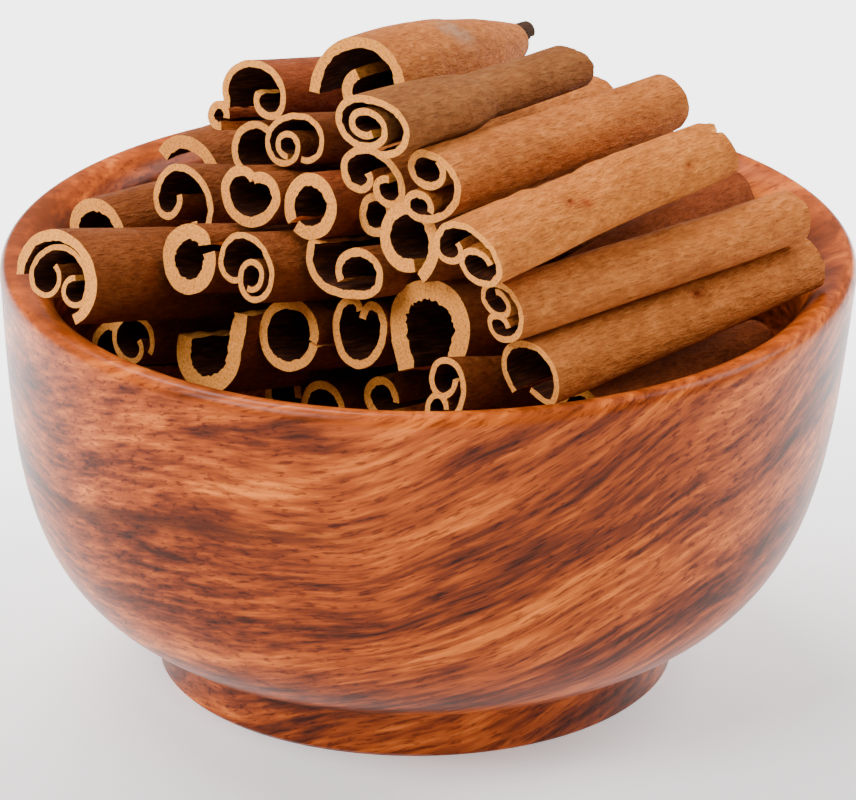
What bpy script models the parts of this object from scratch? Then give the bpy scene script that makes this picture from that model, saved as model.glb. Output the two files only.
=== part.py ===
"""A stack of cinnamon sticks lying in a turned wooden bowl.

Each stick is a quill: one strip of dried bark whose edges have curled in while it dried. Its cut end is drawn
as a strip of even wall, made of arcs that start at the middle of the strip's back and run out to its edges.
The quill is that end drawn out along the stick and tapered a little. The bowl is one turned solid.

Each stick has a direction and a rough place in the heap, chosen by hand. The heap is then settled: wherever
two sticks, or a stick and the bowl, would run into each other, they are pushed apart until all lie a small gap
from one another.

Lengths are millimetres, turned to metres where an object is made. Origin: the middle of the bowl's foot.
"""

import math
from collections import namedtuple

import bmesh
import bpy
import numpy as np
from mathutils import Euler, Matrix, Vector

MM = 0.001
MERGE_DISTANCE = 0.01
SMOOTH_ANGLE = math.radians(35)

# --- the bowl ---------------------------------------------------------------------------------------------
RIM_RADIUS = 90.0
LIP_HEIGHT = 88.8
CROWN_HEIGHT = 91.7
CROWN_RADIUS = 88.0
MOUTH_RADIUS = 78.4
MOUTH_HEIGHT = 80.0
FLOOR_HEIGHT = 14.0
FLOOR_RADIUS = 33.3
FOOT_RADIUS = 54.6
FOOT_HEIGHT = 8.6
FOOT_RING_WIDTH = 9.0
FOOT_RECESS = 1.5
FOOT_EDGE = 0.8
FOOT_FLARE = 0.4
COVE_RADIUS = 55.6
COVE_HEIGHT = 10.2

# The handles of the two curves that the bowl's side and hollow follow, as (radius, height).
SIDE_LOW_HANDLE = (85.5, 22.2)
SIDE_HIGH_HANDLE = (86.4, 47.5)
HOLLOW_HIGH_HANDLE = (78.4, 43.7)
HOLLOW_LOW_HANDLE = (73.4, 14.0)

BOWL_SIDES = 48
SIDE_STEPS = 12
LIP_STEPS = 3
SLOPE_STEPS = 5
HOLLOW_STEPS = 9
FACET_ALLOWANCE = 0.2

# --- the sticks -------------------------------------------------------------------------------------------
STICK_LENGTH = 80.0
WALL = 1.5
ARC_STEP = 36.0
LOW_ARC_STEP = 60.0
FINE_STEP = 4.0

# --- how the heap is settled ------------------------------------------------------------------------------
RESTING_GAP = 0.9
CLOSE_ENOUGH = 0.05
MOST_ROUNDS = 400
PUSH = 1.2
SAMPLES_ALONG = 17
PARALLEL = 1e-6
TINY = 1e-9

Shape = namedtuple("Shape", "left right turn wall", defaults=(0.0, WALL))
Quill = namedtuple(
    "Quill",
    "name shape width height place yaw pitch bark length taper tilt",
    defaults=("tan", STICK_LENGTH, 0.92, 0.0),
)

# Arcs are (radius, degrees) from the middle of the strip's back, all radii relative to each other.
# turn rolls the finished outline anticlockwise, so 180 puts the strip's back at the bottom.
SHAPES = {
    "big_scroll": Shape([(1.0, 75), (6.0, 8)], [(1.0, 105), (0.55, 150), (0.38, 60)], 0, 2.0),
    "roll_and_shell": Shape([(1.0, 190), (0.62, 170), (0.4, 60)], [(1.6, 30), (1.0, 95)], 0, 1.3),
    "two_curls": Shape([(1.0, 120), (0.5, 120)], [(1.3, 95), (0.6, 140)], 0, 1.4),
    "side_curls": Shape([(1.0, 100), (0.5, 150)], [(1.3, 90), (0.42, 140)], -90, 1.4),
    "small_side_curls": Shape([(1.0, 105), (0.7, 100)], [(1.2, 90), (0.7, 100)], -90, 1.1),
    "tilted_curls": Shape([(1.0, 100), (0.4, 130)], [(1.3, 80), (0.75, 110), (0.5, 100)], 0, 1.2),
    "side_roll": Shape([(1.0, 110), (0.6, 180), (0.42, 60)], [(1.1, 90), (0.6, 60)], -85, 1.2),
    "broken_arch": Shape([(1.0, 115), (3.0, 10)], [(1.1, 115), (3.0, 10)], 0, 1.2),
    "plain_roll": Shape([(1.0, 150)], [(1.0, 150)], 60),
    "outer_wrap": Shape([(1.0, 105)], [(1.05, 135)], 0, 1.9),
    "inner_wrap": Shape([(1.0, 90), (0.5, 190)], [(1.0, 95), (0.4, 190)], 0, 1.0),
    "thick_ring": Shape([(1.0, 125)], [(1.0, 205)], 0, 2.4),
    "open_channel": Shape([(1.0, 40), (0.42, 280)], [(1.3, 75)], 190, 1.2),
    "coil_and_drop": Shape([(1.0, 100), (0.6, 165), (0.4, 40)], [(2.2, 40), (0.9, 70), (0.35, 140)], 0, 1.3),
    "heart": Shape([(1.2, 75), (0.75, 100), (0.6, 15)], [(1.2, 75), (0.75, 100), (0.6, 15)], 180, 1.9),
    "slit_ring": Shape([(1.0, 158)], [(1.0, 158)], 135, 2.8),
    "loop_and_roll": Shape([(1.0, 100), (0.8, 50)], [(1.7, 60), (1.0, 60), (0.75, 150), (0.55, 150)], 0, 1.1),
    "roll_and_loop": Shape([(1.7, 60), (1.0, 60), (0.75, 150), (0.55, 150)], [(1.0, 110), (0.8, 45)], 0, 1.1),
    "double_loop": Shape([(1.0, 95), (0.45, 160)], [(1.2, 95), (0.45, 160)], 0, 1.2),
    "tight_roll": Shape([(1.0, 170), (0.6, 150)], [(1.0, 110)], 0, 1.1),
    "deep_cup": Shape([(1.0, 85), (10.0, 9)], [(1.0, 88), (6.0, 3)], 180, 3.2),
    "side_slit": Shape([(1.0, 166)], [(1.0, 166)], 95, 1.8),
    "turned_in_heart": Shape([(1.2, 75), (0.7, 110), (0.45, 25)], [(1.2, 75), (0.7, 110), (0.45, 25)], 180),
    "horseshoe": Shape([(1.0, 105), (6.0, 12)], [(1.0, 95), (6.0, 8)], 0, 3.6),
    "flap_ring": Shape([(1.0, 200)], [(1.25, 100), (4.0, 6)], -20, 2.3),
    "cup_and_coil": Shape([(3.2, 22), (0.85, 285)], [(1.2, 95), (5.0, 4)], 180),
    "open_arcs": Shape([(1.0, 115)], [(1.0, 115)], 90, 1.4),
    "arch_and_curl": Shape([(1.0, 100), (4.0, 8)], [(1.0, 105), (0.45, 190)], 0, 1.3),
    "plank": Shape([(1.6, 50)], [(1.6, 58)], 0, 2.6),
}

# In each list, place is where the middle of the cut end is before settling. yaw turns the stick from +X
# towards +Y and pitch lifts its far end. tilt rolls the cut end so that the right side of its width rises.

# The sticks that lie to the right, whose whole backs show.
RIGHT_STICKS = [
    Quill("stick_right_1", "big_scroll", 21.5, 17, (-14, -23, 139), 63, -12, "tan", 71, 0.5),
    Quill("stick_right_2", "roll_and_shell", 18, 12, (-11, -58, 141), 55, -7, "olive", 71, 0.64),
    Quill("stick_right_3", "two_curls", 16.5, 11, (-11, -43, 125), 54, -5, "tan", 80, 0.65, -6),
    Quill("stick_right_4", "side_curls", 14.5, 15.5, (0, -59, 128), 50, -3, "tan", 76, 0.8),
    Quill("stick_right_5", "tilted_curls", 18, 12, (8, -77, 122), 49, 0, "tan", 77, 0.8, -6),
    Quill("stick_right_6", "plain_roll", 12, 12, (17, -54, 98), 54, 2, "red", 78),
    Quill("stick_right_7", "side_roll", 12.8, 12.8, (15, -72, 106), 41, 0, "tan", 80, 0.84),
    Quill("stick_right_8", "broken_arch", 16, 13, (22, -74, 92), 45, 1, "tan", 81, 0.8),
    Quill("stick_right_9", "plain_roll", 12, 12, (31, -59, 79), 55, -6, "red", 66),
]

# The sticks whose cut ends face the left and the front.
LEFT_STICKS = [
    Quill("stick_left_1", "outer_wrap", 22, 17.5, (-77, -38, 99), 50, -16, "tan", 78, tilt=-4),
    Quill("stick_left_2", "thick_ring", 16.5, 15, (-68, -1, 91), 46, -4),
    Quill("stick_left_3", "open_channel", 16, 10, (-63, 32, 90), 33, -18),
    Quill("stick_left_4", "coil_and_drop", 17.5, 13, (-52, -5, 105), 46, -16),
    Quill("stick_left_5", "heart", 15.5, 11.8, (-37, -25, 111), 50, -15),
    Quill("stick_left_6", "thick_ring", 13.5, 13.5, (-25, -33, 114), 50, -14, "red"),
    Quill("stick_left_7", "slit_ring", 14, 14.5, (-50, -31, 104), 50, -15),
    Quill("stick_left_8", "loop_and_roll", 15, 13.5, (-37, -41, 104), 50, -15),
    Quill("stick_left_9", "double_loop", 18, 12.5, (-56, 10, 78), 48, -17),
    Quill("stick_left_10", "deep_cup", 17, 20, (-46, -27, 82), 50, -15),
    Quill("stick_left_11", "side_slit", 15.5, 15, (-31, -32, 87), 50, -15),
    Quill("stick_left_12", "turned_in_heart", 14, 14.5, (-15, -42, 87), 50, -13),
    Quill("stick_left_13", "horseshoe", 20.5, 21.5, (0, -51, 95), 50, -13),
    Quill("stick_left_14", "plain_roll", 9, 9, (-11, -35, 114), 50, -14),
    Quill("stick_left_15", "flap_ring", 15.5, 15.5, (-4, -53, 114), 50, -14),
    Quill("stick_left_16", "cup_and_coil", 20.5, 11, (-19, -44, 105), 50, -14),
    Quill("stick_left_17", "open_arcs", 9.5, 12, (-37, -4, 117), 50, -14, "red"),
    Quill("stick_left_18", "roll_and_loop", 15.5, 12, (-28, -19, 121), 50, -14),
    Quill("stick_left_19", "arch_and_curl", 16.5, 12, (-36, -5, 129), 53, -14, "red"),
    Quill("stick_left_20", "plain_roll", 6, 6, (-44, 11, 118), 48, -15, "red"),
    Quill("stick_left_21", "plank", 18, 8, (-51, 22, 103), 49, -4, "tan", 80, tilt=4),
    Quill("stick_left_22", "tight_roll", 12, 10.5, (-60, -14, 74), 47, -15, "red"),
]

# The sticks seen deep in the gaps behind the front of the rim.
DEEP_STICKS = [
    Quill("stick_deep_1", "plain_roll", 9, 9, (-9, -30, 70), 50, -8),
    Quill("stick_deep_2", "plain_roll", 12, 11, (-22, -20, 65), 48, -11),
    Quill("stick_deep_3", "plain_roll", 10, 10, (-31, 3, 55), 50, -10, "red"),
    Quill("stick_deep_4", "plain_roll", 11, 11, (-67, 8, 67), 48, -17, "red"),
    Quill("stick_deep_5", "small_side_curls", 9.5, 14.5, (3, -71, 90), 52, -15),
]

# A second strip lies curled up in the open shell of the first stick on the left.
SHELL_STICK = "stick_left_1"
CURLED_STRIP = "inner_wrap"
STRIP_CLEARANCE = 0.9
STRIP_SETBACK = 1.0

# The rows below, which fill the bowl and carry the rest. first is how far to the side of the middle a row's
# first stick lies, and out is how far behind the middle its cut ends are.
LowRow = namedtuple("LowRow", "count first out height")
LOW_ROWS = [LowRow(6, -42, 42, 24), LowRow(7, -52, 39, 40), LowRow(4, -57, 45, 56)]
LOW_WIDTH = 14.5
LOW_SPACING = 15.6
LOW_YAW = 48.0
LOW_PITCH = -1.0

# Linear colours of the barks and of the bowl's wood.
BARKS = {
    "tan": (0.32, 0.13, 0.045),
    "red": (0.22, 0.07, 0.03),
    "olive": (0.26, 0.13, 0.05),
}
BARK_ROUGHNESS = 0.75
WOOD = (0.30, 0.075, 0.02)
WOOD_ROUGHNESS = 0.35


def clear_scene():
    for old in list(bpy.data.objects):
        bpy.data.objects.remove(old, do_unlink=True)


def make_material(name, colour, roughness):
    material = bpy.data.materials.new(name)
    material.use_nodes = True
    shader = material.node_tree.nodes["Principled BSDF"]
    shader.inputs["Base Color"].default_value = (*colour, 1.0)
    shader.inputs["Roughness"].default_value = roughness
    shader.inputs["Metallic"].default_value = 0.0
    return material


def add_object(name, bm, material):
    bmesh.ops.recalc_face_normals(bm, faces=bm.faces[:])
    mesh = bpy.data.meshes.new(name)
    bm.to_mesh(mesh)
    bm.free()
    mesh.shade_smooth()
    mesh.set_sharp_from_angle(angle=SMOOTH_ANGLE)
    mesh.materials.append(material)
    obj = bpy.data.objects.new(name, mesh)
    bpy.context.scene.collection.objects.link(obj)
    return obj


# --- the bowl ---------------------------------------------------------------------------------------------


def bezier(start, start_handle, end_handle, end, steps):
    """Points of one cubic curve, both ends included."""
    t = np.linspace(0.0, 1.0, steps + 1)[:, None]
    corners = [np.array(corner) for corner in (start, start_handle, end_handle, end)]
    weights = ((1 - t) ** 3, 3 * (1 - t) ** 2 * t, 3 * (1 - t) * t**2, t**3)
    return [tuple(point) for point in sum(weight * corner for weight, corner in zip(weights, corners))]


def elliptical_arc(centre, across, up, first, last, steps):
    """Points of an arc between two angles in degrees, both ends included."""
    angles = np.radians(np.linspace(first, last, steps + 1))
    return [(centre[0] + across * math.cos(angle), centre[1] + up * math.sin(angle)) for angle in angles]


def outer_profile():
    """The bowl's outside as (radius, height), from the middle of the foot up to the lip."""
    ring_inside = FOOT_RADIUS - FOOT_RING_WIDTH
    foot = [
        (0.0, FOOT_RECESS),
        (ring_inside - FOOT_RECESS, FOOT_RECESS),
        (ring_inside, 0.0),
        (FOOT_RADIUS - FOOT_EDGE, 0.0),
        (FOOT_RADIUS, FOOT_EDGE),
        (FOOT_RADIUS + FOOT_FLARE, FOOT_HEIGHT),
    ]
    cove, lip = (COVE_RADIUS, COVE_HEIGHT), (RIM_RADIUS, LIP_HEIGHT)
    return foot + bezier(cove, SIDE_LOW_HANDLE, SIDE_HIGH_HANDLE, lip, SIDE_STEPS)


def inner_profile():
    """The bowl's lip and inside as (radius, height), from the lip down to the middle of the floor."""
    lip = elliptical_arc(
        (CROWN_RADIUS, LIP_HEIGHT), RIM_RADIUS - CROWN_RADIUS, CROWN_HEIGHT - LIP_HEIGHT, 0, 90, LIP_STEPS
    )
    across, up = CROWN_RADIUS - MOUTH_RADIUS, CROWN_HEIGHT - MOUTH_HEIGHT
    slope = elliptical_arc((CROWN_RADIUS, MOUTH_HEIGHT), across, up, 90, 180, SLOPE_STEPS)
    mouth, floor = (MOUTH_RADIUS, MOUTH_HEIGHT), (FLOOR_RADIUS, FLOOR_HEIGHT)
    hollow = bezier(mouth, HOLLOW_HIGH_HANDLE, HOLLOW_LOW_HANDLE, floor, HOLLOW_STEPS)
    return lip + slope[1:] + hollow[1:] + [(0.0, FLOOR_HEIGHT)]


def build_bowl(material):
    """The bowl, turned about Z in one piece."""
    bm = bmesh.new()
    profile = outer_profile()[:-1] + inner_profile()
    points = [bm.verts.new(Vector((radius, 0.0, height)) * MM) for radius, height in profile]
    edges = [bm.edges.new(pair) for pair in zip(points, points[1:])]
    bmesh.ops.spin(bm, geom=points + edges, axis=(0, 0, 1), angle=math.tau, steps=BOWL_SIDES)
    bmesh.ops.remove_doubles(bm, verts=bm.verts[:], dist=MERGE_DISTANCE * MM)
    return add_object("bowl", bm, material)


# --- settling ---------------------------------------------------------------------------------------------


def stick_axes(quill):
    """A stick's unit vectors: along it to its far end, and along its cut end's width and height."""
    yaw, pitch, tilt = (math.radians(angle) for angle in (quill.yaw, quill.pitch, quill.tilt))
    along = np.array([math.cos(pitch) * math.cos(yaw), math.cos(pitch) * math.sin(yaw), math.sin(pitch)])
    level = np.array([math.sin(yaw), -math.cos(yaw), 0.0])
    upright = np.cross(level, along)
    width = level * math.cos(tilt) + upright * math.sin(tilt)
    height = upright * math.cos(tilt) - level * math.sin(tilt)
    return along, width, height


class Strands:
    """The heap as round bars: one bar for a round stick, two side by side for a wide one."""

    def __init__(self, quills):
        bars = []
        for number, quill in enumerate(quills):
            along, width, height = stick_axes(quill)
            radius = min(quill.width, quill.height) / 2
            offset = abs(quill.width - quill.height) / 2
            wide = width if quill.width > quill.height else height
            for side in sorted({-offset, offset}):
                far = along * quill.length + wide * side * quill.taper
                bars.append((number, wide * side, far, radius, radius * quill.taper))
        columns = [np.array(column) for column in zip(*bars)]
        self.stick, self.near, self.far, self.near_radius, self.far_radius = columns
        first, second = np.triu_indices(len(self.stick), 1)
        apart = self.stick[first] != self.stick[second]
        self.first, self.second = first[apart], second[apart]

    def at(self, bars, share, places):
        """Points and radii a share of the way along some of the bars."""
        near = self.near[bars] + places[self.stick[bars]]
        far = self.far[bars] + places[self.stick[bars]]
        radii = self.near_radius[bars] + (self.far_radius - self.near_radius)[bars] * share
        return near + (far - near) * share[:, None], radii


def nearest_shares(near_1, far_1, near_2, far_2):
    """How far along each of two bars they come nearest to each other, for many pairs of bars at once."""
    run_1, run_2, between = far_1 - near_1, far_2 - near_2, near_1 - near_2
    length_1, length_2 = (run_1**2).sum(1), (run_2**2).sum(1)
    lean, ahead_1, ahead_2 = (run_1 * run_2).sum(1), (run_1 * between).sum(1), (run_2 * between).sum(1)
    slant = length_1 * length_2 - lean**2
    crossing = (lean * ahead_2 - length_2 * ahead_1) / np.maximum(slant, TINY)
    share_1 = np.clip(np.where(slant > PARALLEL * length_1 * length_2, crossing, 0.5), 0, 1)
    share_2 = np.clip((lean * share_1 + ahead_2) / length_2, 0, 1)
    share_1 = np.clip((lean * share_2 - ahead_1) / length_1, 0, 1)
    return share_1, share_2


def stick_pushes(strands, places):
    """The pushes between sticks that lie too near: stick numbers, pushes and how far the worst has to go."""
    first, second = strands.first, strands.second
    base_1, base_2 = places[strands.stick[first]], places[strands.stick[second]]
    share_1, share_2 = nearest_shares(
        strands.near[first] + base_1, strands.far[first] + base_1,
        strands.near[second] + base_2, strands.far[second] + base_2
    )
    points_1, radii_1 = strands.at(first, share_1, places)
    points_2, radii_2 = strands.at(second, share_2, places)
    apart = points_1 - points_2
    distance = np.linalg.norm(apart, axis=1)
    short = radii_1 + radii_2 + RESTING_GAP - distance
    hit = short > 0
    push = apart[hit] / distance[hit, None] * short[hit, None] / 2
    numbers = np.concatenate([strands.stick[first[hit]], strands.stick[second[hit]]])
    return numbers, np.concatenate([push, -push]), short.max()


def bowl_pushes(strands, places, profile):
    """The same for sticks that lie too near the bowl's lip or inside."""
    bars = np.repeat(np.arange(len(strands.stick)), SAMPLES_ALONG)
    shares = np.tile(np.linspace(0, 1, SAMPLES_ALONG), len(strands.stick))
    points, radii = strands.at(bars, shares, places)
    out = np.linalg.norm(points[:, :2], axis=1)
    section = np.stack([out, points[:, 2]], 1)
    start, run = profile[:-1], profile[1:] - profile[:-1]
    share = np.clip(((section[:, None] - start) * run).sum(-1) / (run**2).sum(-1), 0, 1)
    apart = section[:, None] - (start + share[..., None] * run)
    distances = np.linalg.norm(apart, axis=-1)
    nearest = distances.argmin(1)
    every = np.arange(len(points))
    apart, distance = apart[every, nearest], distances[every, nearest]
    above = np.where(points[:, 2] > np.interp(out, profile[::-1, 0], profile[::-1, 1]), 1.0, -1.0)
    short = radii + RESTING_GAP + FACET_ALLOWANCE - distance * above
    hit = short > 0
    push = apart[hit] * (above[hit] * short[hit] / distance[hit])[:, None]
    outward = points[hit, :2] / out[hit, None]
    return strands.stick[bars[hit]], np.column_stack([outward * push[:, :1], push[:, 1]]), short.max()


def settle(quills):
    """Where the cut end of each stick lies once none is too near another or the bowl."""
    strands = Strands(quills)
    places = np.array([quill.place for quill in quills], dtype=float)
    profile = np.array(inner_profile())
    for _ in range(MOST_ROUNDS):
        numbers, pushes, worst = stick_pushes(strands, places)
        bowl_numbers, from_bowl, worst_at_bowl = bowl_pushes(strands, places, profile)
        if max(worst, worst_at_bowl) < CLOSE_ENOUGH:
            return places
        total = np.zeros_like(places)
        count = np.zeros(len(places))
        for who, push in ((numbers, pushes), (bowl_numbers, from_bowl)):
            np.add.at(total, who, push)
            np.add.at(count, who, 1)
        places += PUSH * total / np.maximum(count, 1)[:, None]
    raise ValueError(f"the heap has not settled: {max(worst, worst_at_bowl):.2f} mm")


# --- the sticks -------------------------------------------------------------------------------------------


def trace(arcs, side, step):
    """Points of a chain of arcs from the origin, heading along X to one side and turning downwards."""
    x, z, heading = 0.0, 0.0, 0.0
    points = [(x, z)]
    for radius, sweep in arcs:
        pieces = max(1, round(sweep / step))
        turn = math.radians(sweep / pieces)
        chord = 2 * radius * math.sin(turn / 2)
        for _ in range(pieces):
            x += chord * math.cos(heading + turn / 2)
            z -= chord * math.sin(heading + turn / 2)
            heading += turn
            points.append((side * x, z))
    return points


def rolled_line(shape, step):
    """The middle line of a strip's cut end, rolled but not yet to size."""
    line = np.array(trace(shape.left, -1, step)[:0:-1] + trace(shape.right, 1, step))
    roll = math.radians(shape.turn)
    return line @ np.array([[math.cos(roll), math.sin(roll)], [-math.sin(roll), math.cos(roll)]])


def middle_line(shape, width, height, step):
    """The middle line of a strip's cut end, fitted to the stick's width and height."""
    smooth = rolled_line(shape, FINE_STEP)
    low, high = smooth.min(axis=0), smooth.max(axis=0)
    sizes = np.array([width - shape.wall, height - shape.wall])
    return (rolled_line(shape, step) - (low + high) / 2) * sizes / (high - low)


def strip_outline(line, wall):
    """The closed outline of a strip of even wall about its middle line."""
    along = np.gradient(line, axis=0)
    along /= np.linalg.norm(along, axis=1, keepdims=True)
    across = np.stack([-along[:, 1], along[:, 0]], axis=1) * wall / 2
    return np.concatenate([line + across, (line - across)[::-1]])


def build_quill(quill, place, material, step=ARC_STEP):
    """One stick: its cut end in its own XZ plane, drawn out along its own Y and then laid in its place."""
    shape = SHAPES[quill.shape]
    outline = strip_outline(middle_line(shape, quill.width, quill.height, step), shape.wall)
    tilt = Matrix.Rotation(math.radians(-quill.tilt), 4, "Y")
    bm = bmesh.new()
    near = [bm.verts.new(tilt @ Vector((x, 0.0, z)) * MM) for x, z in outline]
    grown = bmesh.ops.extrude_face_region(bm, geom=[bm.faces.new(near)], use_keep_orig=True)
    for vert in (item for item in grown["geom"] if isinstance(item, bmesh.types.BMVert)):
        vert.co = Vector((vert.co.x * quill.taper, quill.length * MM, vert.co.z * quill.taper))
    obj = add_object(quill.name, bm, material)
    obj.location = Vector(place) * MM
    obj.rotation_euler = Euler((math.radians(quill.pitch), 0.0, math.radians(quill.yaw - 90.0)))
    return obj


def low_sticks():
    """The plain sticks of the rows below, side by side."""
    yaw = math.radians(LOW_YAW)
    quills = []
    for row in LOW_ROWS:
        for number in range(row.count):
            aside = row.first + number * LOW_SPACING
            x = -math.sin(yaw) * aside - math.cos(yaw) * row.out
            y = math.cos(yaw) * aside - math.sin(yaw) * row.out
            name = f"stick_low_{len(quills) + 1}"
            place = (x, y, row.height)
            quills.append(Quill(name, "plain_roll", LOW_WIDTH, LOW_WIDTH, place, LOW_YAW, LOW_PITCH))
    return quills


def strip_in_shell(shell):
    """The second strip, as big as a stick's open shell has room for."""
    room = 2 * (SHAPES[shell.shape].wall + STRIP_CLEARANCE)
    return shell._replace(
        name=shell.name + "_strip",
        shape=CURLED_STRIP,
        width=shell.width - room,
        height=shell.height - room,
        length=shell.length - STRIP_SETBACK,
    )


def main():
    clear_scene()
    build_bowl(make_material("acacia_wood", WOOD, WOOD_ROUGHNESS))
    barks = {name: make_material("bark_" + name, colour, BARK_ROUGHNESS) for name, colour in BARKS.items()}
    shown, low = RIGHT_STICKS + LEFT_STICKS + DEEP_STICKS, low_sticks()
    places = settle(shown + low)
    for quill, place in zip(shown, places):
        build_quill(quill, place, barks[quill.bark])
        if quill.name == SHELL_STICK:
            strip = strip_in_shell(quill)
            build_quill(strip, place + stick_axes(quill)[0] * STRIP_SETBACK, barks[strip.bark])
    for quill, place in zip(low, places[len(shown):]):
        build_quill(quill, place, barks[quill.bark], LOW_ARC_STEP)


main()
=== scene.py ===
"""Models a heap of cinnamon sticks in a turned wooden bowl, and the studio that it stands in.

Each stick is a quill: a strip of bark is spun round a chain of arcs as its edges curled while it dried, gets
the wall of its node, and is then bent, furrowed and frayed a little. The bowl is spun from its profile.
Lengths are millimetres where a name or a property says so, and metres elsewhere.
"""

import math
from collections import namedtuple

import bmesh
import bpy
import numpy as np
from bpy.props import FloatProperty, FloatVectorProperty, IntProperty, PointerProperty
from bpy.types import Operator, Panel, PropertyGroup
from mathutils import Euler, Matrix, Vector, noise


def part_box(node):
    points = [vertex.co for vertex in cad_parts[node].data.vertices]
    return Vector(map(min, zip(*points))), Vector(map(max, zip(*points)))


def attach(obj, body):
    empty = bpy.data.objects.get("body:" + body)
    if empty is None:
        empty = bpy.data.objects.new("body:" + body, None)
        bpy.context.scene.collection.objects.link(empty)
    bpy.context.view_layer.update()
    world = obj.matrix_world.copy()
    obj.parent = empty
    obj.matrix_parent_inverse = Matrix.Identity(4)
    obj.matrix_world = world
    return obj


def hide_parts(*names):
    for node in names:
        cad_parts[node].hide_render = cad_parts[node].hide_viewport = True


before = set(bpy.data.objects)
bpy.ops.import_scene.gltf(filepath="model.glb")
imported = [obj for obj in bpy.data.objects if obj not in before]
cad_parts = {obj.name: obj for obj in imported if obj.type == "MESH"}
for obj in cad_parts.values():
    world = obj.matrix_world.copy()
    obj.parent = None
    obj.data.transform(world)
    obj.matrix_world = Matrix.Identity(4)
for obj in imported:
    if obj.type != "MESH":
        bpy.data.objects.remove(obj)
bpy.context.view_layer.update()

bl_info = {
    "name": "Bowl of Cinnamon Sticks",
    "version": (1, 0, 0),
    "blender": (4, 5, 0),
    "location": "3D View > Sidebar > Cinnamon",
    "description": "Models a heap of cinnamon sticks in a turned wooden bowl",
    "category": "Object",
}

MM = 0.001

# --- the bowl's profile, in millimetres, as its solid has it -----------------------------------------------
RIM_RADIUS = 90.0
LIP_HEIGHT = 88.8
CROWN_HEIGHT = 91.7
CROWN_RADIUS = 88.0
MOUTH_RADIUS = 78.4
MOUTH_HEIGHT = 80.0
FLOOR_HEIGHT = 14.0
FLOOR_RADIUS = 33.3
FOOT_RADIUS = 54.6
FOOT_HEIGHT = 8.6
FOOT_RING_WIDTH = 9.0
FOOT_RECESS = 1.5
FOOT_EDGE = 0.8
FOOT_FLARE = 0.4
FOOT_ASIDE = 2.8
COVE_RADIUS = 55.6
COVE_HEIGHT = 10.2
SIDE_LOW_HANDLE = (85.5, 22.2)
SIDE_HIGH_HANDLE = (86.4, 47.5)
HOLLOW_HIGH_HANDLE = (78.4, 43.7)
HOLLOW_LOW_HANDLE = (73.4, 14.0)

# --- the sticks -------------------------------------------------------------------------------------------
STICK_LENGTH = 80.0
WALL = 1.5
SEED_WIDTH = 0.02
LOW_STICKS = 17
LOW_WIDTH = 14.5
LOW_YAW = 48.0
LOW_PITCH = -1.0
LOW_COARSENESS = 2.5
KNOT_SIZE = 3.0
RIPPLE_REACH = 2.4
RIPPLE_SHARE = 0.3
WALL_GROWTH = 1.25

Shape = namedtuple("Shape", "left right turn wall", defaults=(0.0, WALL))
Mark = namedtuple("Mark", "along around size depth scar", defaults=(0.0,))
# A stick's bark defaults to brown, a darker copy of the tan bark that paints shade on the sticks at the left and
# deep in the heap.
Stick = namedtuple(
    "Stick",
    "node shape width height yaw pitch bark length taper tilt furrow marks profile near_fray far_fray",
    defaults=("brown", STICK_LENGTH, 0.92, 0.0, 0.16, (), (), 0.3, 0.8),
)

# How wide a stick is along its length, as (share of the length, share of the width at the cut end).
BELLIED = ((0.0, 1.0), (0.25, 1.04), (0.5, 0.96), (0.75, 0.72), (0.93, 0.47), (1.0, 0.36))
STEPPED = ((0.0, 1.0), (0.3, 0.99), (0.42, 0.88), (0.5, 0.7), (1.0, 0.66))

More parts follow.
